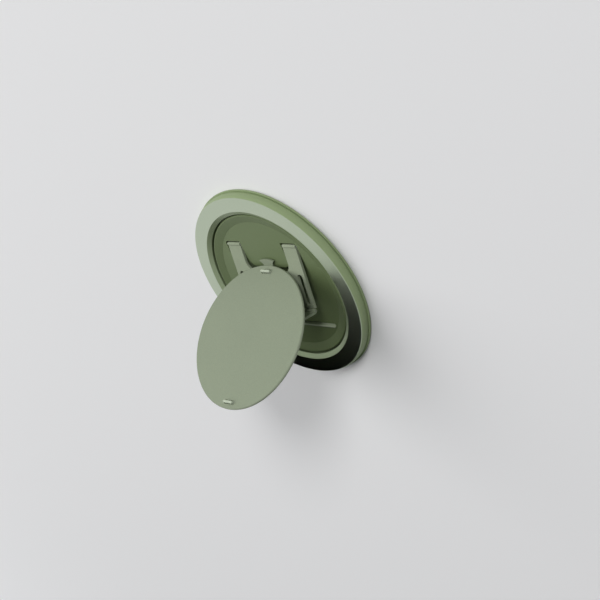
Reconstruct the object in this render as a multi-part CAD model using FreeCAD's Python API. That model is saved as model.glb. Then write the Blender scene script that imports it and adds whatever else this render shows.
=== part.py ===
# Phone grip: a round base with a turntable in it, and a disc that stands up on a folding two-leaf leg.
# Millimetres. Z is the base's axis, the back face is at z = 0, and the pieces are written in the open pose.
# The leg, the leaf and the disc are drawn lying flat, as when shut, and then swung open on their pins.
import FreeCAD, Part
import math
import os

V = FreeCAD.Vector
X_AXIS = V(1, 0, 0)
Z_AXIS = V(0, 0, 1)
ORIGIN = V(0, 0, 0)

# Base, from the bore outwards
finger_margin = 2.97
undercut = 0.8
inner_wall = 0.8
outer_wall = 1.3
flange_width = 0.4
flange_thickness = 0.5
base_height = 3.15
top_round = 0.45
bore_bevel_width = 1.19
bore_bevel_height = 0.7
lip_height = 0.9

# Back
pad_thickness = 0.2
pad_inset = 0.3
pad_hole_radius = 19.0
plate_thickness = 0.25
plate_overlap = 0.4
seat_clearance = 0.02

# Magnets and their steel ring, in a channel under the base's top
magnet_count = 12
magnet_width = 2.8
magnet_height = 1.4
magnet_gap = 0.6
shield_thickness = 0.3
channel_clearance = 0.1

# Turntable
turntable_clearance = 0.35
turntable_lift = 0.05
turntable_flange_thickness = 0.3
dish_floor = 1.55
rim_seat = 1.0
rim_top = 2.35
pocket_depth = 0.83
pocket_room = 7.3
pocket_flare = 0.6
pocket_corner = 1.0
tongue_gap = 0.4
tongue_room = 0.85
tongue_corner = 2.5

# Leg: a flat plate with two arms and a slot along each side
leg_thickness = 0.75
leg_width = 26.0
leg_seat_gap = 0.04
leg_side_gap = 0.5
arm_width = 4.8
rail_width = 1.05
leg_pivot_y = 12.0
leg_length = 18.0
side_slot_width = 1.7
side_slot_corner = 0.8
side_slot_head = 0.46
crossbar_width = 0.4
lower_bar_width = 0.85

# Leaf: the plate that stands on the leg's lower end and carries the disc
leaf_thickness = 0.65
leaf_gap = 0.07
leaf_length = 9.7
leaf_notch_gap = 0.15

# Hinges
knuckle_radius = 0.55
disc_knuckle_radius = 0.37
leg_pin_radius = 0.3
leaf_pin_radius = 0.25
disc_pin_radius = 0.2
pin_clearance = 0.02
pin_engagement = 0.9
knuckle_gap = 0.1
leaf_knuckle_width = 2.8
leg_knuckle_width = 6.5
disc_knuckle_half = 6.0
disc_outer_knuckle_width = 3.4

# Disc
disc_radius = 19.28
disc_thickness = 0.75
disc_lift = 0.12
disc_chamfer = 0.2
bracket_thickness = 0.35
bracket_length = 4.2
bracket_half_width = 9.0
bracket_corner = 1.5

# Heel tab at the disc's upper edge
heel_gap = 0.12
heel_thickness = 0.45
heel_reach = 1.9
heel_neck_half = 1.6
heel_toe_half = 2.75

# Studs set in slots near the disc's upper and lower edges
stud_length = 3.5
stud_width = 0.7
stud_margin = 1.78
stud_proud = 0.7
stud_gap = 0.2
stud_base_thickness = 0.3
stud_chamfer = 0.1

# Open pose
leg_lift = 9.7
leaf_stand = 76.2

# Radii that follow from the sizes above
bore_radius = disc_radius + finger_margin
undercut_radius = bore_radius + undercut
magnet_inner_radius = undercut_radius + inner_wall
magnet_outer_radius = magnet_inner_radius + magnet_width
wall_radius = magnet_outer_radius + outer_wall
flange_radius = wall_radius + flange_width
plate_radius = magnet_outer_radius + channel_clearance + plate_overlap
turntable_radius = bore_radius - turntable_clearance
turntable_flange_radius = undercut_radius - turntable_clearance
dish_floor_radius = disc_radius

# Heights and places that follow from the sizes above
plate_top = pad_thickness + plate_thickness
turntable_bottom = plate_top + turntable_lift
pocket_floor = dish_floor - pocket_depth
leg_bottom = pocket_floor + leg_seat_gap
leg_top = leg_bottom + leg_thickness
leaf_bottom = leg_top + leaf_gap
leaf_top = leaf_bottom + leaf_thickness
disc_bottom = leaf_top + disc_lift
disc_top = disc_bottom + disc_thickness
leg_half = leg_width / 2
arm_inner = leg_half - arm_width
pocket_half = leg_half + leg_side_gap
tongue_half = arm_inner - tongue_gap

# Hinge axes in the shut pose, as y and z
leg_pivot = V(0, leg_pivot_y, (leg_bottom + leg_top) / 2)
leaf_pivot = V(0, leg_pivot_y - leg_length, (leg_top + leaf_bottom) / 2)
disc_pivot = V(0, leaf_pivot.y + leaf_length, (leaf_bottom + leaf_top) / 2)

# Openings in the leg and the dish, from those axes
side_slot_top = disc_pivot.y + side_slot_head
crossbar_top = side_slot_top + crossbar_width
tongue_bottom = crossbar_top + tongue_room
pocket_bottom = leaf_pivot.y - pocket_room


def turned(point, centre, degrees):
    """The point after a turn about an X axis through the centre."""
    turn = FreeCAD.Rotation(X_AXIS, degrees)
    return centre + turn.multVec(point - centre)


def resting_tilt(pivot_height):
    """The disc's tilt at which its upper back edge rests on the dish's floor."""
    reach = disc_radius - disc_pivot.y
    rise = disc_bottom - disc_pivot.z
    drop = pivot_height - dish_floor - heel_gap
    return math.degrees(math.asin(drop / math.hypot(reach, rise)) + math.atan2(rise, reach))


# The same axes in the open pose, and the disc's tilt there
leaf_pivot_open = turned(leaf_pivot, leg_pivot, -leg_lift)
disc_pivot_open = leaf_pivot_open + turned(disc_pivot - leaf_pivot, ORIGIN, leaf_stand)
disc_tilt = resting_tilt(disc_pivot_open.z)


def swung_leg(shape):
    """A leg piece, from flat to open."""
    shape.rotate(leg_pivot, X_AXIS, -leg_lift)
    return shape


def swung_leaf(shape):
    """A leaf piece, from flat to open."""
    shape.rotate(leaf_pivot, X_AXIS, leaf_stand)
    shape.translate(leaf_pivot_open - leaf_pivot)
    return shape


def swung_disc(shape):
    """A disc piece, from flat to open."""
    shape.rotate(disc_pivot, X_AXIS, -disc_tilt)
    shape.translate(disc_pivot_open - disc_pivot)
    return shape


def turned_profile(points):
    """A solid of revolution about Z from a closed profile of radius and height."""
    corners = [V(radius, 0, height) for radius, height in points]
    wire = Part.makePolygon(corners + corners[:1])
    return Part.Face(wire).revolve(ORIGIN, Z_AXIS, 360)


def ring(inner, outer, bottom, top):
    """A flat ring about Z."""
    return turned_profile([(inner, bottom), (outer, bottom), (outer, top), (inner, top)])


def flared_slab(low_half, high_half, y_low, y_high, bottom, top, corner):
    """A flat bar centred on X that widens along Y, with its upright edges rounded."""
    corners = [
        V(-low_half, y_low, bottom),
        V(low_half, y_low, bottom),
        V(high_half, y_high, bottom),
        V(-high_half, y_high, bottom),
    ]
    bar = Part.Face(Part.makePolygon(corners + corners[:1])).extrude(V(0, 0, top - bottom))
    if corner > 0:
        bar = bar.makeFillet(corner, upright_edges(bar))
    return bar


def slab(x_half, y_low, y_high, bottom, top, corner=0.0):
    """A flat bar of one width centred on X, with its upright edges rounded."""
    return flared_slab(x_half, x_half, y_low, y_high, bottom, top, corner)


def block(x_low, x_high, y_low, y_high, bottom, top):
    """A plain box between its limits."""
    return Part.makeBox(x_high - x_low, y_high - y_low, top - bottom, V(x_low, y_low, bottom))


def upright_edges(shape):
    """The straight edges of a shape that run along Z."""
    edges = []
    for edge in shape.Edges:
        run = edge.Vertexes[-1].Point - edge.Vertexes[0].Point
        if isinstance(edge.Curve, Part.Line) and abs(run.x) + abs(run.y) < 1e-6:
            edges.append(edge)
    return edges


def rod(radius, x_low, x_high, pivot):
    """A round bar along X through a hinge axis."""
    return Part.makeCylinder(radius, x_high - x_low, V(x_low, pivot.y, pivot.z), X_AXIS)


def mirrored(spans):
    """Spans of X on both sides of the middle."""
    return spans + [(-high, -low) for low, high in spans]


def circle_edges(shape, radius, height):
    """The round edges of a shape about Z at one radius and height."""
    edges = []
    for edge in shape.Edges:
        curve = edge.Curve
        if not isinstance(curve, Part.Circle):
            continue
        level = abs(curve.Center.z - height) < 1e-6
        if level and abs(curve.Radius - radius) < 1e-6 and abs(curve.Axis.z) > 0.999:
            edges.append(edge)
    return edges


def pill(length, width, y_middle, bottom, top):
    """A bar along X with half-round ends."""
    reach = (length - width) / 2
    body = block(-reach, reach, y_middle - width / 2, y_middle + width / 2, bottom, top)
    for side in (-reach, reach):
        body = body.fuse(Part.makeCylinder(width / 2, top - bottom, V(side, y_middle, bottom)))
    return body.removeSplitter()


# Hinge knuckles along X: the leaf has the outer ones on the leg, the disc's bracket the middle one
leaf_knuckles = mirrored([(leg_half - leaf_knuckle_width, leg_half)])
leg_knuckle_high = leg_half - leaf_knuckle_width - knuckle_gap
leg_knuckles = mirrored([(leg_knuckle_high - leg_knuckle_width, leg_knuckle_high)])
disc_outer_low = disc_knuckle_half + knuckle_gap
disc_outer_high = disc_outer_low + disc_outer_knuckle_width
leaf_disc_knuckles = mirrored([(disc_outer_low, disc_outer_high)])
arm_spans = mirrored([(arm_inner, leg_half)])
stud_places = {"upper_stud": disc_radius - stud_margin, "lower_stud": stud_margin - disc_radius}


def base_ring():
    """The base's body: a rounded wall on a thin flange, a bevelled bore, and room for the magnets."""
    flange_top = pad_thickness + flange_thickness
    bend = top_round * (1 - math.sqrt(0.5))
    plate_seat = plate_radius + seat_clearance
    body = turned_profile([
        (bore_radius, lip_height),
        (undercut_radius, lip_height),
        (undercut_radius, plate_top),
        (plate_seat, plate_top),
        (plate_seat, pad_thickness),
        (flange_radius, pad_thickness),
        (flange_radius, flange_top),
        (wall_radius, flange_top),
        (wall_radius, base_height - top_round),
        (wall_radius - bend, base_height - bend),
        (wall_radius - top_round, base_height),
        (bore_radius + bore_bevel_width, base_height),
        (bore_radius, base_height - bore_bevel_height),
    ])
    channel_top = plate_top + magnet_height + shield_thickness + 2 * channel_clearance
    channel = ring(magnet_inner_radius - channel_clearance, magnet_outer_radius + channel_clearance,
                   plate_top, channel_top)
    return body.cut(channel)


def back_plate():
    """The thin disc that closes the base from behind."""
    return Part.makeCylinder(plate_radius, plate_thickness, V(0, 0, pad_thickness))


def back_pad():
    """The soft ring that grips the surface behind."""
    return ring(pad_hole_radius, flange_radius - pad_inset, 0, pad_thickness)


def magnet(index):
    """One arc magnet of the circle."""
    step = 360 / magnet_count
    middle_radius = (magnet_inner_radius + magnet_outer_radius) / 2
    sweep = step - math.degrees(magnet_gap / middle_radius)
    profile = Part.makePolygon([
        V(magnet_inner_radius, 0, plate_top),
        V(magnet_outer_radius, 0, plate_top),
        V(magnet_outer_radius, 0, plate_top + magnet_height),
        V(magnet_inner_radius, 0, plate_top + magnet_height),
        V(magnet_inner_radius, 0, plate_top),
    ])
    body = Part.Face(profile).revolve(ORIGIN, Z_AXIS, sweep)
    body.rotate(ORIGIN, Z_AXIS, index * step - sweep / 2)
    return body


def shield_ring():
    """The steel ring that lies on the magnets."""
    bottom = plate_top + magnet_height
    return ring(magnet_inner_radius, magnet_outer_radius, bottom, bottom + shield_thickness)


def turntable():
    """The plate that turns in the base, with the pocket that the leg folds into."""
    flange_top = turntable_bottom + turntable_flange_thickness
    body = turned_profile([
        (0, turntable_bottom),
        (turntable_flange_radius, turntable_bottom),
        (turntable_flange_radius, flange_top),
        (turntable_radius, flange_top),
        (turntable_radius, rim_seat),
        (dish_floor_radius, rim_seat),
        (dish_floor_radius, dish_floor),
        (0, dish_floor),
    ])
    slot_end = leg_pivot.y + knuckle_radius + leg_side_gap
    slot_reach = knuckle_radius + knuckle_gap
    pin_bore = leg_pin_radius + pin_clearance
    pocket = flared_slab(pocket_half + pocket_flare, pocket_half, pocket_bottom, slot_end,
                         pocket_floor, base_height, pocket_corner)
    tongue = slab(tongue_half, tongue_bottom, slot_end + tongue_corner, 0, base_height, tongue_corner)
    body = body.cut(pocket.cut(tongue))
    for low, high in arm_spans:
        body = body.cut(block(low - knuckle_gap, high + knuckle_gap, leg_pivot.y - slot_reach,
                              leg_pivot.y + slot_reach, 0, base_height))
        body = body.cut(rod(pin_bore, low - pin_engagement, high + pin_engagement, leg_pivot))
    return body


def dish_rim():
    """The sloping ring fixed round the turntable's floor."""
    return turned_profile([
        (dish_floor_radius, rim_seat),
        (turntable_radius, rim_seat),
        (turntable_radius, rim_top),
        (dish_floor_radius, dish_floor),
    ])


def leg_pin(span):
    """A hinge pin through one arm, held in the turntable at both ends."""
    low, high = span
    grip = pin_engagement - pin_clearance
    return rod(leg_pin_radius, low - grip, high + grip, leg_pivot)


def leg_frame():
    """The leg: a slotted plate whose arms and lower end are rolled into knuckles."""
    lower_edge = leaf_pivot.y + knuckle_radius + leaf_notch_gap
    side_slot_bottom = lower_edge + lower_bar_width
    side_slot_outer = leg_half - rail_width
    body = slab(leg_half, lower_edge, leg_pivot.y, leg_bottom, leg_top)
    gap = slab(arm_inner, crossbar_top, leg_pivot.y + tongue_corner, 0, base_height, tongue_corner)
    body = body.cut(gap)
    for low, high in mirrored([(side_slot_outer - side_slot_width, side_slot_outer)]):
        side_slot = block(low, high, side_slot_bottom, side_slot_top, 0, base_height)
        body = body.cut(side_slot.makeFillet(side_slot_corner, upright_edges(side_slot)))
    for low, high in arm_spans:
        body = body.fuse(rod(knuckle_radius, low, high, leg_pivot))
    for low, high in leg_knuckles:
        strip = block(low, high, leaf_pivot.y, lower_edge, leg_bottom, leg_top)
        body = body.fuse(strip).fuse(rod(knuckle_radius, low, high, leaf_pivot))
    body = body.cut(rod(leg_pin_radius + pin_clearance, -leg_half, leg_half, leg_pivot))
    body = body.cut(rod(leaf_pin_radius + pin_clearance, -leg_half, leg_half, leaf_pivot))
    return swung_leg(body.removeSplitter())


def leaf_pin():
    """The pin between the leg and the leaf."""
    return swung_leg(rod(leaf_pin_radius, -leg_half, leg_half, leaf_pivot))


def leaf_plate():
    """The leaf: a plate with knuckles along both long edges."""
    lower_edge = leaf_pivot.y + knuckle_radius + leaf_notch_gap
    upper_edge = disc_pivot.y - disc_knuckle_radius - leaf_notch_gap
    body = slab(leg_half, lower_edge, upper_edge, leaf_bottom, leaf_top)
    for low, high in leaf_knuckles:
        strip = block(low, high, leaf_pivot.y, lower_edge, leaf_bottom, leaf_top)
        body = body.fuse(strip).fuse(rod(knuckle_radius, low, high, leaf_pivot))
    for low, high in leaf_disc_knuckles:
        strip = block(low, high, upper_edge, disc_pivot.y, leaf_bottom, leaf_top)
        body = body.fuse(strip).fuse(rod(disc_knuckle_radius, low, high, disc_pivot))
    body = body.cut(rod(leaf_pin_radius + pin_clearance, -leg_half, leg_half, leaf_pivot))
    body = body.cut(rod(disc_pin_radius + pin_clearance, -leg_half, leg_half, disc_pivot))
    return swung_leaf(body.removeSplitter())


def disc_pin():
    """The pin between the leaf and the disc's bracket."""
    return swung_disc(rod(disc_pin_radius, -disc_outer_high, disc_outer_high, disc_pivot))


def hinge_bracket():
    """The bracket on the disc's back that carries the middle knuckle."""
    clear_of_leaf = disc_pivot.y + disc_knuckle_radius + leaf_notch_gap
    body = slab(bracket_half_width, clear_of_leaf, clear_of_leaf + bracket_length,
                disc_bottom - bracket_thickness, disc_bottom, bracket_corner)
    arm = slab(disc_knuckle_half, disc_pivot.y, clear_of_leaf + bracket_corner,
               disc_bottom - bracket_thickness, disc_bottom)
    knuckle = rod(disc_knuckle_radius, -disc_knuckle_half, disc_knuckle_half, disc_pivot)
    body = body.fuse(arm).fuse(knuckle)
    body = body.cut(rod(disc_pin_radius + pin_clearance, -leg_half, leg_half, disc_pivot))
    return swung_disc(body.removeSplitter())


def heel_tab(edge):
    """The flared tab that lies on the dish's floor, from the disc's upper edge outwards."""
    bottom = dish_floor + heel_gap
    toe = edge + heel_reach
    waist = (edge + toe) / 2
    bend_half = heel_neck_half + (heel_toe_half - heel_neck_half) / 4
    right = [V(heel_neck_half, edge, bottom), V(bend_half, waist, bottom), V(heel_toe_half, toe, bottom)]
    left = [V(-point.x, point.y, point.z) for point in right]
    crown = V(0, toe + heel_reach / 4, bottom)
    outline = Part.Wire([
        Part.Arc(*right).toShape(),
        Part.Arc(right[-1], crown, left[-1]).toShape(),
        Part.Arc(*reversed(left)).toShape(),
        Part.makeLine(left[0], right[0]),
    ])
    return Part.Face(outline).extrude(V(0, 0, heel_thickness))


def grip_disc():
    """The disc, with its slots and its heel tab."""
    body = Part.makeCylinder(disc_radius, disc_thickness, V(0, 0, disc_bottom))
    rims = circle_edges(body, disc_radius, disc_top) + circle_edges(body, disc_radius, disc_bottom)
    body = body.makeChamfer(disc_chamfer, rims)
    for place in stud_places.values():
        body = body.cut(pill(stud_length + 2 * stud_gap, stud_width + 2 * stud_gap, place,
                             disc_bottom, disc_top))
    body = swung_disc(body)
    upper_edge = swung_disc(Part.Vertex(V(0, disc_radius, disc_bottom))).Point
    return body.fuse(heel_tab(upper_edge.y)).removeSplitter()


def stud(place):
    """A stud that fills a slot at its back and stands proud in front."""
    base = pill(stud_length + 2 * stud_gap, stud_width + 2 * stud_gap, place,
                disc_bottom, disc_bottom + stud_base_thickness)
    top = disc_top + stud_proud
    body = pill(stud_length, stud_width, place, disc_bottom, top)
    crown = [edge for edge in body.Edges if abs(edge.BoundBox.ZMin - top) < 1e-6]
    body = body.makeChamfer(stud_chamfer, crown)
    return swung_disc(body.fuse(base).removeSplitter())


def build():
    """Every piece by its name."""
    pieces = {
        "base_ring": base_ring(),
        "back_plate": back_plate(),
        "back_pad": back_pad(),
        "shield_ring": shield_ring(),
        "turntable": turntable(),
        "dish_rim": dish_rim(),
        "leg_frame": leg_frame(),
        "leg_pin_right": leg_pin(arm_spans[0]),
        "leg_pin_left": leg_pin(arm_spans[1]),
        "leaf_plate": leaf_plate(),
        "leaf_pin": leaf_pin(),
        "grip_disc": grip_disc(),
        "hinge_bracket": hinge_bracket(),
        "disc_pin": disc_pin(),
    }
    for name, place in stud_places.items():
        pieces[name] = stud(place)
    for index in range(magnet_count):
        pieces[f"magnet_{index + 1:02d}"] = magnet(index)
    return pieces


def describe(name, point):
    """A hinge axis in the open pose, printed for the record."""
    print(name, round(point.y, 4), round(point.z, 4))


os.makedirs("parts", exist_ok=True)
for name, shape in build().items():
    shape.exportStep(f"parts/{name}.step")
    print(name, shape.isValid(), len(shape.Solids), round(shape.Volume, 3))
describe("leg_hinge", leg_pivot)
describe("leaf_hinge", leaf_pivot_open)
describe("disc_hinge", disc_pivot_open)
print("disc_tilt", round(disc_tilt, 4))
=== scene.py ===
"""Dresses the folding phone grip in anodised metal and lights it on a pale floor."""
import math

import bmesh
import bpy
from mathutils import Matrix, Vector


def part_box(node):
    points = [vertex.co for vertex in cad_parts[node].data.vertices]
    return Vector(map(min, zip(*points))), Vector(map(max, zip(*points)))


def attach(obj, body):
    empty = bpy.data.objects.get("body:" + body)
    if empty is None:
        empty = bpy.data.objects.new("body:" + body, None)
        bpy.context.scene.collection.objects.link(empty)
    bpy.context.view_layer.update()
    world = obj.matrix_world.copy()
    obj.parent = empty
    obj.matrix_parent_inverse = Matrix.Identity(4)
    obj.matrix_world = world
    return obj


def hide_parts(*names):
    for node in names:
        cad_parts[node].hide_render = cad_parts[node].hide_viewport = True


bl_info = {
    "name": "Phone Grip",
    "version": (1, 0, 0),
    "blender": (4, 5, 0),
    "location": "3D View > Sidebar > Phone Grip",
    "description": "Builds the looks of a folding phone grip around its solid model",
    "category": "Object",
}

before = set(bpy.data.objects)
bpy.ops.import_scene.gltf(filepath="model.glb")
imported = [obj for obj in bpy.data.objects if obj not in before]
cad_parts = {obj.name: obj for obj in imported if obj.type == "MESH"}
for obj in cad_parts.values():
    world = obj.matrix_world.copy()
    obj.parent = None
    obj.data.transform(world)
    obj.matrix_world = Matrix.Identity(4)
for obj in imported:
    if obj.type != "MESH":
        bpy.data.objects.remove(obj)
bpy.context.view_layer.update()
MILLIMETRE = 0.001

RING_LOW, RING_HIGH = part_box("base_ring")
PAD_LOW, PAD_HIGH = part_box("back_pad")
RIM_LOW, RIM_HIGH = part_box("dish_rim")
_, PLATE_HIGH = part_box("back_plate")
_, DISH_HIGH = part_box("turntable")

# Limits for the mesh tools
MERGE_DISTANCE = 1e-7
FLAT_ANGLE = math.radians(0.5)
CREASE_ANGLE = math.radians(32)
FULL_TURN = 2 * math.pi

# Cells, depths and soft edges of the patterns in the finishes
METAL_PATCH = 14 * MILLIMETRE
BLAST_GRAIN = 0.2 * MILLIMETRE
BLAST_PIT = 0.12 * MILLIMETRE
BLAST_DEPTH = 0.012 * MILLIMETRE
SATIN_GRAIN = 0.16 * MILLIMETRE
SATIN_DEPTH = 0.003 * MILLIMETRE
SKIRT_OFFSET = 0.06 * MILLIMETRE
SKIRT_SOFTNESS = 0.12 * MILLIMETRE
BEVEL_SOFTNESS = 0.04 * MILLIMETRE
COAT_PATCH = 5 * MILLIMETRE
COAT_GRAIN = 0.22 * MILLIMETRE
COAT_DEPTH = 0.01 * MILLIMETRE
PLASTIC_PATCH = 6 * MILLIMETRE
PLASTIC_GRAIN = 0.16 * MILLIMETRE
PLASTIC_DEPTH = 0.015 * MILLIMETRE
DUST_SPOT = 0.5 * MILLIMETRE
SILICONE_GRAIN = 0.3 * MILLIMETRE
SILICONE_DEPTH = 0.01 * MILLIMETRE
STEEL_LINE = 0.06 * MILLIMETRE
STEEL_STRETCH = (0.05, 1.0, 1.0)
STEEL_DEPTH = 0.004 * MILLIMETRE

# Shares in the finishes
METAL_CLOUD = 0.2
COAT_CLOUD = 0.4
SATIN_ROUGHNESS = 0.3
SATIN_COAT = 0.5
SKIRT_ROUGHER = 0.22
SKIRT_DULLER = 0.85
BEVEL_DULLER = 0.6
# Share of the darker skirt colour on the bore's bevel: painted shade of the bore's edge
BEVEL_SHADE_TINT = 0.75
DUST_LIGHTER = 1.25

# Places and levels of the ramps
METAL_TONE = [(0.32, 0.0), (0.68, 1.0)]
COAT_TONE = [(0.3, 0.0), (0.7, 1.0)]
DUST_TONE = [(0.5, 0.0), (0.8, 1.0)]

# The stage
BACKDROP = (0.9, 0.92, 0.95)
AMBIENT = 0.13
FLOOR_HALF_WIDTH = 3.0
FLOOR_GAP = 1e-5
HAZE_RADIUS = 0.7
HAZE_SOFTNESS = 1.0
# Place and size of the black card that stands for the shade behind the disc: a painted dark reflection
# in the metal
CARD_FOOT = Vector((-0.016, -0.036, 0))
CARD_HEAD = Vector((-0.016, -0.0183, 0.032))
CARD_WIDTH = 0.064
SENSOR_WIDTH = 36
CLIP_START = 0.01
CLIP_END = 20

# Name, place, size and power of each lamp
LAMPS = (
    ("Key", (-1.2, 0.54, 1.04), 2.0, 27.5),
    ("Fill", (0.8, 1.24, 0.84), 0.6, 15.5),
)


# Properties


def length(name, description, default):
    """A length property, given in metres."""
    return bpy.props.FloatProperty(
        name=name, description=description, default=default, min=0, unit="LENGTH", precision=5
    )


def colour(name, description, default):
    """A linear colour property."""
    return bpy.props.FloatVectorProperty(
        name=name, description=description, default=default, min=0, max=1, subtype="COLOR"
    )


class GripBaseSizes(bpy.types.PropertyGroup):
    """Sizes of the turned pieces: the base, the pad and the dish's rim."""

    bore_radius: length("Bore radius", "Radius of the hole that the dish turns in", 0.02225)
    bore_edge: length("Bore edge", "Width of the rounded edge under the bevel", 0.00005)
    bevel_width: length("Bevel width", "Width of the sloping edge round the bore", 0.00119)
    bevel_height: length("Bevel height", "Height of the sloping edge round the bore", 0.0007)
    bevel_edge: length("Bevel edge", "Width of the rounded edge above the bevel", 0.00004)
    undercut_radius: length("Undercut radius", "Radius of the groove for the dish's flange", 0.02305)
    lip_height: length("Lip height", "Height of the lip over the dish's flange", 0.0009)
    shoulder_radius: length("Shoulder radius", "Outer radius of the flat top face", 0.0275)
    shoulder_edge: length("Shoulder edge", "Width of the rounded edge of the top face", 0.00003)
    shoulder_drop: length("Shoulder drop", "Height of the slope from the top face to the wall", 0.0006)
    shoulder_rounding: length("Shoulder rounding", "Width of the rounding above the wall", 0.0007)
    wall_radius: length("Wall radius", "Radius of the wall where it meets the flange", 0.02795)
    wall_edge: length("Wall edge", "Width of the rounded edge at the wall's foot", 0.00006)
    floor_radius: length("Floor radius", "Radius of the dish's flat floor", 0.01928)
    rim_rounding: length("Rim rounding", "Width of the rounded outer edge of the dish's rim", 0.0005)
    seat_radius: length("Seat radius", "Radius of the seat for the back plate", 0.02717)
    flange_thickness: length("Flange thickness", "Height of the thin flange round the wall", 0.0005)
    flange_edge: length("Flange edge", "Width of the rounded edge of the flange", 0.00006)
    groove: length("Groove", "Width of the fine groove between wall and flange", 0.00012)
    pad_hole: length("Pad hole", "Radius of the hole in the back pad", 0.019)
    pad_edge: length("Pad edge", "Width of the rounded edges of the back pad", 0.00007)
    steps: bpy.props.IntProperty(
        name="Steps", description="Facets round a full turn", default=192, min=24, max=512
    )


class GripStopSizes(bpy.types.PropertyGroup):
    """Sizes of the bar along the low end of the dish's pocket."""

    half_length: length("Half length", "Reach of the bar on each side of the middle", 0.0139)
    width: length("Width", "Width of the bar along Y", 0.0006)
    edge: bpy.props.FloatProperty(
        name="Edge", description="Place of the pocket's low wall along Y", default=-0.01297,
        unit="LENGTH", precision=5
    )
    foot: length("Foot", "Height of the pocket's floor", 0.00072)
    top: length("Top", "Height of the bar's top", 0.00196)
    rounding: length("Rounding", "Width of the bar's rounded edges", 0.00024)


class GripEdgeSizes(bpy.types.PropertyGroup):
    """Widths of the softened edges."""

    dish: length("Dish", "Edge width on the dish and its pocket", 0.00007)
    leg: length("Leg", "Edge width on the leg, the leaf and the bracket", 0.00009)
    disc: length("Disc", "Edge width on the disc and its tab", 0.00006)
    stud: length("Stud", "Edge width on the studs", 0.00008)


class GripColours(bpy.types.PropertyGroup):
    """Colours of the finishes."""

    base: colour("Base", "Satin anodised metal of the base", (0.41, 0.466, 0.338))
    # The skirt's colour is darker than the base's partly as painted shade of the ring's side wall
    skirt: colour("Skirt", "Matte skirt round the base's foot", (0.24, 0.308, 0.157))
    dish: colour("Dish", "Blasted metal of the dish", (0.125, 0.166, 0.073))
    disc: colour("Disc", "Blasted metal of the disc", (0.229, 0.265, 0.184))
    leg: colour("Leg", "Matte coat of the leg", (0.278, 0.319, 0.226))
    stud: colour("Stud", "Matte plastic of the studs", (0.4, 0.45, 0.345))
    back: colour("Back", "Plastic of the back plate", (0.13, 0.16, 0.10))
    pad: colour("Pad", "Silicone of the back pad", (0.36, 0.38, 0.34))
    steel: colour("Steel", "Pins and shield ring", (0.52, 0.53, 0.52))
    nickel: colour("Nickel", "Plating of the magnets", (0.62, 0.61, 0.59))
    floor: colour("Floor", "Plain floor", (0.83, 0.83, 0.835))


class GripView(bpy.types.PropertyGroup):
    """The camera that matches the photograph."""

    eye: bpy.props.FloatVectorProperty(
        name="Eye", description="Camera position", default=(0.255362, 0.146393, 0.18279),
        subtype="TRANSLATION", unit="LENGTH", precision=6
    )
    aim: bpy.props.FloatVectorProperty(
        name="Aim", description="Point on the floor at the picture's centre",
        default=(0.00279, -0.006192, 0.0), subtype="TRANSLATION", unit="LENGTH", precision=6
    )
    roll: bpy.props.FloatProperty(
        name="Roll", description="Turn of the camera about its line of sight",
        default=math.radians(-133.915), subtype="ANGLE"
    )
    lens: bpy.props.FloatProperty(
        name="Lens", description="Focal length in millimetres", default=79.671, min=1
    )


# Shader tools


class Number:
    """A shader value that can be used in Python sums."""

    def __init__(self, finish, socket):
        self.finish = finish
        self.socket = socket

    def joined(self, operation, first, second):
        """The result of a Math node on two values."""
        return self.finish.number("ShaderNodeMath", {"operation": operation}, {0: first, 1: second})

    def __add__(self, other):
        return self.joined("ADD", self, other)

    def __radd__(self, other):
        return self.joined("ADD", other, self)

    def __sub__(self, other):
        return self.joined("SUBTRACT", self, other)

    def __rsub__(self, other):
        return self.joined("SUBTRACT", other, self)

    def __mul__(self, other):
        return self.joined("MULTIPLY", self, other)

    def __rmul__(self, other):
        return self.joined("MULTIPLY", other, self)


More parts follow.
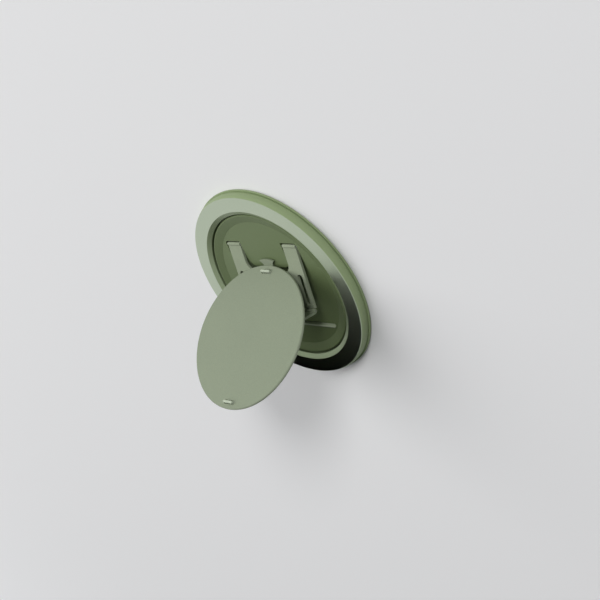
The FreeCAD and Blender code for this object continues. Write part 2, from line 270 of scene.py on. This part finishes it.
class Finish:
    """The nodes of a new material or world."""

    def __init__(self, owner):
        owner.use_nodes = True
        self.owner = owner
        self.tree = owner.node_tree
        self.tree.nodes.clear()

    def node(self, kind, settings=None, inputs=None):
        """Adds a node, sets it up and fills its inputs."""
        made = self.tree.nodes.new(kind)
        for key, value in (settings or {}).items():
            if key == "stops":
                self.set_stops(made.color_ramp, value)
            else:
                setattr(made, key, value)
        for key, value in (inputs or {}).items():
            if isinstance(value, Number):
                value = value.socket
            if isinstance(value, bpy.types.NodeSocket):
                self.tree.links.new(value, made.inputs[key])
            else:
                made.inputs[key].default_value = value
        return made

    def set_stops(self, ramp, stops):
        """Gives a colour ramp its places and grey levels."""
        while len(ramp.elements) < len(stops):
            ramp.elements.new(1.0)
        for element, (place, level) in zip(ramp.elements, stops):
            element.position = place
            element.color = (level, level, level, 1)

    def number(self, kind, settings=None, inputs=None):
        """Adds a node and wraps its first output."""
        return Number(self, self.node(kind, settings, inputs).outputs[0])

    def place(self):
        """The point of the surface in the object's own coordinates."""
        return self.node("ShaderNodeTexCoord").outputs["Object"]

    def noise(self, cell, detail=2.0, where=None):
        """Noise from 0 to 1 whose cells are about that many metres across."""
        return self.number(
            "ShaderNodeTexNoise", None,
            {"Vector": where or self.place(), "Scale": 1 / cell, "Detail": detail},
        )

    def radius(self):
        """The distance of the point from the Z axis."""
        parts = self.node("ShaderNodeSeparateXYZ", None, {"Vector": self.place()})
        x = Number(self, parts.outputs["X"])
        y = Number(self, parts.outputs["Y"])
        return self.number("ShaderNodeMath", {"operation": "SQRT"}, {0: x * x + y * y})

    def seen(self):
        """1 for what the camera sees straight or in a reflection, and 0 for light that spreads."""
        rays = self.node("ShaderNodeLightPath")
        return self.number("ShaderNodeMath", {"operation": "MAXIMUM"}, {
            0: rays.outputs["Is Camera Ray"],
            1: rays.outputs["Is Glossy Ray"],
        })

    def step(self, value, edge, softness):
        """0 below an edge and 1 above it."""
        return self.number(
            "ShaderNodeMapRange", {"interpolation_type": "SMOOTHSTEP"},
            {"Value": value, "From Min": edge - softness / 2, "From Max": edge + softness / 2},
        )

    def ramp(self, value, stops):
        """A value remapped through places and levels."""
        return self.number("ShaderNodeValToRGB", {"stops": stops}, {"Fac": value})

    def blend(self, factor, first, second):
        """A colour between two colours."""
        mix = self.node(
            "ShaderNodeMix", {"data_type": "RGBA"},
            {"Factor": factor, "A": rgba(first), "B": rgba(second)},
        )
        return mix.outputs["Result"]

    def varied(self, tone, base, spread):
        """A colour that gets lighter with the tone, by that share to either side."""
        return self.blend(tone, tinted(base, 1 - spread), tinted(base, 1 + spread))

    def bump(self, height, depth, strength):
        """A normal bent by a height from 0 to 1 that stands for that depth in metres."""
        made = self.node(
            "ShaderNodeBump", None, {"Height": height, "Distance": depth, "Strength": strength}
        )
        return made.outputs["Normal"]

    def surface(self, inputs):
        """Ends the material in a principled shader."""
        shader = self.node("ShaderNodeBsdfPrincipled", None, inputs)
        self.node("ShaderNodeOutputMaterial", None, {"Surface": shader.outputs["BSDF"]})
        return self.owner


def rgba(value):
    """A colour with its alpha, or a socket as it is."""
    if isinstance(value, (bpy.types.NodeSocket, Number)):
        return value
    return (*value, 1)


def tinted(base, level):
    """A colour made lighter or darker."""
    return tuple(min(1.0, part * level) for part in base)


def swing(value, size):
    """A value from 0 to 1 as a change of that size about zero."""
    return (value - 0.5) * size


def mingled(fine, coarse, share):
    """A fine and a coarse value added, with that share of the coarse one."""
    return fine * (1 - share) + coarse * share


# Finishes


def blasted_metal(name, base, metallic, roughness):
    """Anodised metal with the fine speckle that blasting leaves."""
    finish = Finish(bpy.data.materials.new(name))
    speckle = finish.noise(BLAST_GRAIN, detail=3.0)
    cloud = finish.noise(METAL_PATCH)
    pits = finish.noise(BLAST_PIT)
    tone = finish.ramp(mingled(speckle, cloud, METAL_CLOUD), METAL_TONE)
    return finish.surface({
        "Base Color": finish.varied(tone, base, spread=0.09),
        "Metallic": metallic,
        "Roughness": swing(cloud, size=0.06) + swing(speckle, size=0.08) + roughness,
        "Normal": finish.bump(pits, BLAST_DEPTH, strength=0.35),
    })


def satin_ring(name, base, skirt, sizes):
    """Satin anodised metal about Z, with a matte bore edge and a matte skirt, whose darker colour is
    partly painted shade of the bore's edge and the side wall.
    """
    finish = Finish(bpy.data.materials.new(name))
    radius = finish.radius()
    # The skirt: a matte finish whose darker colour is partly painted shade of the side wall
    on_skirt = finish.step(radius, sizes.shoulder_radius + SKIRT_OFFSET, SKIRT_SOFTNESS)
    # The bore's bevel: a duller finish, tinted towards the skirt colour as painted shade of the bore's
    # edge
    on_bevel = 1 - finish.step(radius, sizes.bore_radius + sizes.bevel_width, BEVEL_SOFTNESS)
    speckle = finish.noise(SATIN_GRAIN, detail=3.0)
    cloud = finish.noise(METAL_PATCH)
    tone = finish.ramp(mingled(speckle, cloud, METAL_CLOUD), METAL_TONE)
    satin = finish.varied(tone, base, spread=0.06)
    return finish.surface({
        "Base Color": finish.blend(on_skirt + on_bevel * BEVEL_SHADE_TINT, satin, skirt),
        "Metallic": 1 - on_skirt * SKIRT_DULLER - on_bevel * BEVEL_DULLER,
        "Roughness": on_skirt * SKIRT_ROUGHER + swing(speckle, size=0.06) + SATIN_ROUGHNESS,
        "Coat Weight": SATIN_COAT - on_skirt * SATIN_COAT - on_bevel * SATIN_COAT,
        "Coat Roughness": SATIN_ROUGHNESS,
        "Normal": finish.bump(speckle, SATIN_DEPTH, strength=0.35),
    })


def matte_coat(name, base, roughness):
    """A thin matte coat on pressed metal."""
    finish = Finish(bpy.data.materials.new(name))
    speckle = finish.noise(COAT_GRAIN, detail=3.0)
    cloud = finish.noise(COAT_PATCH, detail=3.0)
    tone = finish.ramp(mingled(speckle, cloud, COAT_CLOUD), COAT_TONE)
    return finish.surface({
        "Base Color": finish.varied(tone, base, spread=0.08),
        "Specular IOR Level": 0.15,
        "Roughness": swing(speckle, size=0.1) + roughness,
        "Normal": finish.bump(speckle, COAT_DEPTH, strength=0.3),
    })


def moulded_plastic(name, base, roughness):
    """Matte plastic with a fine spark-eroded texture."""
    finish = Finish(bpy.data.materials.new(name))
    grain = finish.noise(PLASTIC_GRAIN)
    cloud = finish.noise(PLASTIC_PATCH)
    return finish.surface({
        "Base Color": finish.varied(cloud, base, spread=0.07),
        "Roughness": swing(grain, size=0.12) + roughness,
        "Normal": finish.bump(grain, PLASTIC_DEPTH, strength=0.4),
    })


def silicone(name, base):
    """Soft matte silicone, a little dusty."""
    finish = Finish(bpy.data.materials.new(name))
    dust = finish.ramp(finish.noise(DUST_SPOT, detail=4.0), DUST_TONE)
    skin = finish.noise(SILICONE_GRAIN)
    return finish.surface({
        "Base Color": finish.blend(dust, base, tinted(base, DUST_LIGHTER)),
        "Roughness": dust * 0.1 + 0.62,
        "Normal": finish.bump(skin, SILICONE_DEPTH, strength=0.4),
    })


def drawn_steel(name, base, roughness):
    """Bright metal with fine lines along X, as drawn wire and strip have."""
    finish = Finish(bpy.data.materials.new(name))
    along = finish.node(
        "ShaderNodeMapping", None, {"Vector": finish.place(), "Scale": STEEL_STRETCH}
    )
    lines = finish.noise(STEEL_LINE, where=along.outputs["Vector"])
    return finish.surface({
        "Base Color": finish.varied(lines, base, spread=0.1),
        "Metallic": 1.0,
        "Roughness": lines * 0.16 + roughness,
        "Normal": finish.bump(lines, STEEL_DEPTH, strength=0.3),
    })


# Mesh tools


def coated(mesh, material):
    """Gives a mesh one material in place of those it has."""
    mesh.materials.clear()
    mesh.materials.append(material)


def placed(name, data):
    """A new object in the scene."""
    made = bpy.data.objects.new(name, data)
    bpy.context.scene.collection.objects.link(made)
    return made


def finished(name, mesh, body, material, nodes):
    """Puts a mesh in the scene as a piece that stands for its solids, if it has any."""
    for face in mesh.polygons:
        face.use_smooth = True
    mesh.set_sharp_from_angle(angle=CREASE_ANGLE)
    coated(mesh, material)
    piece = placed(name, mesh)
    shading = piece.modifiers.new("Even shading", "WEIGHTED_NORMAL")
    shading.keep_sharp = True
    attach(piece, body)
    if nodes:
        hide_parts(*nodes)


def meshed(name, work):
    """A new mesh with the shape of a bmesh, which is freed."""
    mesh = bpy.data.meshes.new(name)
    work.to_mesh(mesh)
    work.free()
    return mesh


def turned(name, corners, steps):
    """A mesh turned about Z from corners of radius, height and the width of their rounding."""
    work = bmesh.new()
    verts = [work.verts.new((radius, 0, height)) for radius, height, _ in corners]
    for pair in zip(verts, verts[1:] + verts[:1]):
        work.edges.new(pair)
    for vert, (_, _, rounding) in zip(verts, corners):
        if rounding > 0:
            bmesh.ops.bevel(
                work, geom=[vert], offset=rounding, offset_type="OFFSET", segments=6,
                profile=0.5, affect="VERTICES", material=-1
            )
    bmesh.ops.spin(
        work, geom=work.verts[:] + work.edges[:], cent=(0, 0, 0), axis=(0, 0, 1),
        angle=FULL_TURN, steps=steps, use_merge=True
    )
    bmesh.ops.remove_doubles(work, verts=work.verts, dist=MERGE_DISTANCE)
    bmesh.ops.recalc_face_normals(work, faces=work.faces)
    return meshed(name, work)


def bar(name, low, high, width):
    """A straight bar between two corners, with its edges broken."""
    work = bmesh.new()
    size = high - low
    place = Matrix.Translation((low + high) / 2) @ Matrix.Diagonal((*size, 1))
    bmesh.ops.create_cube(work, size=1, matrix=place)
    bmesh.ops.bevel(
        work, geom=work.edges[:], offset=width, offset_type="OFFSET", segments=3,
        profile=0.5, affect="EDGES", material=-1
    )
    bmesh.ops.recalc_face_normals(work, faces=work.faces)
    return meshed(name, work)


def softened(name, node, width):
    """A merged copy of a solid's mesh, with its sharp edges broken."""
    work = bmesh.new()
    work.from_mesh(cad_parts[node].data)
    bmesh.ops.remove_doubles(work, verts=work.verts, dist=MERGE_DISTANCE)
    bmesh.ops.dissolve_limit(work, angle_limit=FLAT_ANGLE, verts=work.verts, edges=work.edges)
    sharp = [
        edge for edge in work.edges
        if len(edge.link_faces) == 2 and edge.calc_face_angle() > CREASE_ANGLE
    ]
    bmesh.ops.bevel(
        work, geom=sharp, offset=width, offset_type="OFFSET", segments=2,
        profile=0.5, affect="EDGES", clamp_overlap=True, material=-1
    )
    mesh = meshed(name, work)
    stale_normals = mesh.attributes.get("custom_normal")
    if stale_normals is not None:
        mesh.attributes.remove(stale_normals)
    return mesh


# Operators


class GRIP_OT_base(bpy.types.Operator):
    """Turn the base ring, with its flange, rounded wall and bore"""

    bl_idname = "grip.base"
    bl_label = "Base"

    def execute(self, context):
        sizes = context.scene.grip_base
        paint = context.scene.grip_colours
        flange_top = RING_LOW.z + sizes.flange_thickness
        groove_radius = sizes.wall_radius - sizes.groove
        corners = [
            (sizes.bore_radius, sizes.lip_height, 0),
            (sizes.undercut_radius, sizes.lip_height, 0),
            (sizes.undercut_radius, PLATE_HIGH.z, 0),
            (sizes.seat_radius, PLATE_HIGH.z, 0),
            (sizes.seat_radius, RING_LOW.z, 0),
            (RING_HIGH.x, RING_LOW.z, sizes.flange_edge),
            (RING_HIGH.x, flange_top, sizes.flange_edge),
            (groove_radius, flange_top, 0),
            (groove_radius, flange_top + sizes.groove, 0),
            (sizes.wall_radius, flange_top + 2 * sizes.groove, sizes.wall_edge),
            (sizes.wall_radius, RING_HIGH.z - sizes.shoulder_drop, sizes.shoulder_rounding),
            (sizes.shoulder_radius, RING_HIGH.z, sizes.shoulder_edge),
            (sizes.bore_radius + sizes.bevel_width, RING_HIGH.z, sizes.bevel_edge),
            (sizes.bore_radius, RING_HIGH.z - sizes.bevel_height, sizes.bore_edge),
        ]
        metal = satin_ring("Satin base metal", paint.base, paint.skirt, sizes)
        mesh = turned("base", corners, sizes.steps)
        finished("base", mesh, "base", metal, ["base_ring"])
        return {"FINISHED"}


class GRIP_OT_back(bpy.types.Operator):
    """Make the back plate and the soft pad that grips the surface behind"""

    bl_idname = "grip.back"
    bl_label = "Back"

    def execute(self, context):
        sizes = context.scene.grip_base
        paint = context.scene.grip_colours
        plastic = moulded_plastic("Back plastic", paint.back, roughness=0.5)
        rubber = silicone("Pad silicone", paint.pad)
        coated(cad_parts["back_plate"].data, plastic)
        corners = [
            (sizes.pad_hole, PAD_LOW.z, sizes.pad_edge),
            (PAD_HIGH.x, PAD_LOW.z, sizes.pad_edge),
            (PAD_HIGH.x, PAD_HIGH.z, 0),
            (sizes.pad_hole, PAD_HIGH.z, 0),
        ]
        mesh = turned("pad", corners, sizes.steps)
        finished("pad", mesh, "base", rubber, ["back_pad"])
        return {"FINISHED"}


class GRIP_OT_dish(bpy.types.Operator):
    """Make the turning dish with the pocket for the leg, and its rim"""

    bl_idname = "grip.dish"
    bl_label = "Dish"

    def execute(self, context):
        sizes = context.scene.grip_base
        paint = context.scene.grip_colours
        metal = blasted_metal("Blasted dish metal", paint.dish, metallic=0.3, roughness=0.5)
        mesh = softened("dish", "turntable", context.scene.grip_edges.dish)
        finished("dish", mesh, "dish", metal, ["turntable"])
        corners = [
            (sizes.floor_radius, RIM_LOW.z, 0),
            (RIM_HIGH.x, RIM_LOW.z, 0),
            (RIM_HIGH.x, RIM_HIGH.z, sizes.rim_rounding),
            (sizes.floor_radius, DISH_HIGH.z, 0),
        ]
        mesh = turned("rim", corners, sizes.steps)
        finished("rim", mesh, "dish", metal, ["dish_rim"])
        return {"FINISHED"}


class GRIP_OT_leg(bpy.types.Operator):
    """Make the folding leg: slotted plate, leaf, the disc's bracket and the stop bar"""

    bl_idname = "grip.leg"
    bl_label = "Leg"

    def execute(self, context):
        paint = context.scene.grip_colours
        width = context.scene.grip_edges.leg
        coat = matte_coat("Matte leg coat", paint.leg, roughness=0.65)
        for name, node, body in (
            ("leg", "leg_frame", "leg"),
            ("leaf", "leaf_plate", "leaf"),
            ("bracket", "hinge_bracket", "grip"),
        ):
            finished(name, softened(name, node, width), body, coat, [node])
        stop = context.scene.grip_stop
        low = Vector((-stop.half_length, stop.edge, stop.foot))
        high = Vector((stop.half_length, stop.edge + stop.width, stop.top))
        mesh = bar("stop_bar", low, high, stop.rounding)
        finished("stop_bar", mesh, "dish", coat, [])
        return {"FINISHED"}


class GRIP_OT_disc(bpy.types.Operator):
    """Make the round disc with its heel tab, and its two studs"""

    bl_idname = "grip.disc"
    bl_label = "Disc"

    def execute(self, context):
        paint = context.scene.grip_colours
        edges = context.scene.grip_edges
        metal = blasted_metal("Blasted disc metal", paint.disc, metallic=0.2, roughness=0.55)
        mesh = softened("disc", "grip_disc", edges.disc)
        finished("disc", mesh, "grip", metal, ["grip_disc"])
        plastic = moulded_plastic("Stud plastic", paint.stud, roughness=0.42)
        for node in ("upper_stud", "lower_stud"):
            mesh = softened(node + "_cap", node, edges.stud)
            finished(node + "_cap", mesh, "grip", plastic, [node])
        return {"FINISHED"}


class GRIP_OT_hidden(bpy.types.Operator):
    """Finish the pins, the magnets and their steel ring"""

    bl_idname = "grip.hidden"
    bl_label = "Pins and magnets"

    def execute(self, context):
        paint = context.scene.grip_colours
        steel = drawn_steel("Drawn steel", paint.steel, roughness=0.22)
        nickel = drawn_steel("Nickel plating", paint.nickel, roughness=0.14)
        for name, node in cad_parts.items():
            if name.startswith("magnet"):
                coated(node.data, nickel)
            elif "_pin" in name or name == "shield_ring":
                coated(node.data, steel)
        return {"FINISHED"}


class GRIP_OT_stage(bpy.types.Operator):
    """Lay the floor and set the lights and the camera"""

    bl_idname = "grip.stage"
    bl_label = "Stage"

    def execute(self, context):
        scene = context.scene
        self.lay_floor(scene)
        self.set_world(scene)
        self.stand_shade_card()
        self.hang_lights()
        self.place_camera(scene)
        scene.view_settings.view_transform = "Standard"
        return {"FINISHED"}

    def lay_floor(self, scene):
        """A plain floor that fades into the backdrop far from the grip."""
        work = bmesh.new()
        bmesh.ops.create_grid(work, x_segments=1, y_segments=1, size=FLOOR_HALF_WIDTH)
        bmesh.ops.translate(work, verts=work.verts, vec=(0, 0, PAD_LOW.z - FLOOR_GAP))
        mesh = meshed("floor", work)
        finish = Finish(bpy.data.materials.new("Floor"))
        plain = finish.node("ShaderNodeBsdfPrincipled", None, {
            "Base Color": rgba(scene.grip_colours.floor),
            "Roughness": 0.8,
            "Specular IOR Level": 0.1,
        })
        far = finish.step(finish.radius(), HAZE_RADIUS, HAZE_SOFTNESS)
        haze = finish.node("ShaderNodeEmission", None, {"Color": rgba(BACKDROP)})
        mixed = finish.node("ShaderNodeMixShader", None, {
            0: far * finish.seen(),
            1: plain.outputs["BSDF"],
            2: haze.outputs["Emission"],
        })
        finish.node("ShaderNodeOutputMaterial", None, {"Surface": mixed.outputs["Shader"]})
        coated(mesh, finish.owner)
        placed("floor", mesh)

    def set_world(self, scene):
        """A pale backdrop that lights the grip only a little."""
        scene.world = bpy.data.worlds.new("Studio")
        studio = Finish(scene.world)
        backdrop = studio.node("ShaderNodeBackground", None, {
            "Color": rgba(BACKDROP),
            "Strength": studio.seen() * (1 - AMBIENT) + AMBIENT,
        })
        studio.node("ShaderNodeOutputWorld", None, {"Surface": backdrop.outputs["Background"]})

    def stand_shade_card(self):
        """A black card behind the disc, which only the metal shows: a painted dark reflection that
        stands for the shade behind the disc.
        """
        rise = CARD_HEAD - CARD_FOOT
        work = bmesh.new()
        bmesh.ops.create_grid(work, x_segments=1, y_segments=1, size=0.5)
        turn = Matrix.Rotation(math.atan2(rise.z, rise.y), 4, "X")
        scale = Matrix.Diagonal((CARD_WIDTH, rise.length, 1, 1))
        place = Matrix.Translation(CARD_FOOT + rise / 2)
        bmesh.ops.transform(work, matrix=place @ turn @ scale, verts=work.verts)
        mesh = meshed("painted_shade_card", work)
        dark = {"Base Color": (0, 0, 0, 1), "Specular IOR Level": 0.0}
        coated(mesh, Finish(bpy.data.materials.new("Painted shade card")).surface(dark))
        card = placed("painted_shade_card", mesh)
        card.visible_camera = False
        card.visible_diffuse = False
        card.visible_shadow = False

    def hang_lights(self):
        """Round lamps that face the grip and don't show in reflections."""
        for name, place, size, power in LAMPS:
            lamp = bpy.data.lights.new(name, "AREA")
            lamp.shape = "DISK"
            lamp.size = size
            lamp.energy = power
            light = placed(name, lamp)
            light.location = place
            light.visible_glossy = False
            light.rotation_mode = "QUATERNION"
            light.rotation_quaternion = (-Vector(place)).to_track_quat("-Z", "Y")

    def place_camera(self, scene):
        """The camera of the main view."""
        view = scene.grip_view
        data = bpy.data.cameras.new("Camera")
        data.sensor_width = SENSOR_WIDTH
        data.lens = view.lens
        data.clip_start = CLIP_START
        data.clip_end = CLIP_END
        camera = placed("Camera", data)
        sight = (Vector(view.aim) - Vector(view.eye)).to_track_quat("-Z", "Y")
        turn = sight.to_matrix().to_4x4() @ Matrix.Rotation(view.roll, 4, "Z")
        camera.matrix_world = Matrix.Translation(view.eye) @ turn
        scene.camera = camera


class GRIP_PT_panel(bpy.types.Panel):
    """Lists the grip's sizes, colours and pieces"""

    bl_idname = "GRIP_PT_panel"
    bl_label = "Phone Grip"
    bl_space_type = "VIEW_3D"
    bl_region_type = "UI"
    bl_category = "Phone Grip"

    def draw(self, context):
        scene = context.scene
        for group in (getattr(scene, name) for name in GROUPS):
            box = self.layout.box()
            for key in group.__annotations__:
                box.prop(group, key)
        for operator in OPERATORS:
            self.layout.operator(operator.bl_idname)


# Registration

GROUPS = {
    "grip_base": GripBaseSizes,
    "grip_stop": GripStopSizes,
    "grip_edges": GripEdgeSizes,
    "grip_colours": GripColours,
    "grip_view": GripView,
}
OPERATORS = (
    GRIP_OT_base,
    GRIP_OT_back,
    GRIP_OT_dish,
    GRIP_OT_leg,
    GRIP_OT_disc,
    GRIP_OT_hidden,
    GRIP_OT_stage,
)
CLASSES = (*GROUPS.values(), *OPERATORS, GRIP_PT_panel)


def register():
    for kind in CLASSES:
        bpy.utils.register_class(kind)
    for name, group in GROUPS.items():
        setattr(bpy.types.Scene, name, bpy.props.PointerProperty(type=group))


def unregister():
    for name in GROUPS:
        delattr(bpy.types.Scene, name)
    for kind in reversed(CLASSES):
        bpy.utils.unregister_class(kind)


def main():
    register()
    bpy.ops.grip.base()
    bpy.ops.grip.back()
    bpy.ops.grip.dish()
    bpy.ops.grip.leg()
    bpy.ops.grip.disc()
    bpy.ops.grip.hidden()
    bpy.ops.grip.stage()


if __name__ == "__main__":
    main()
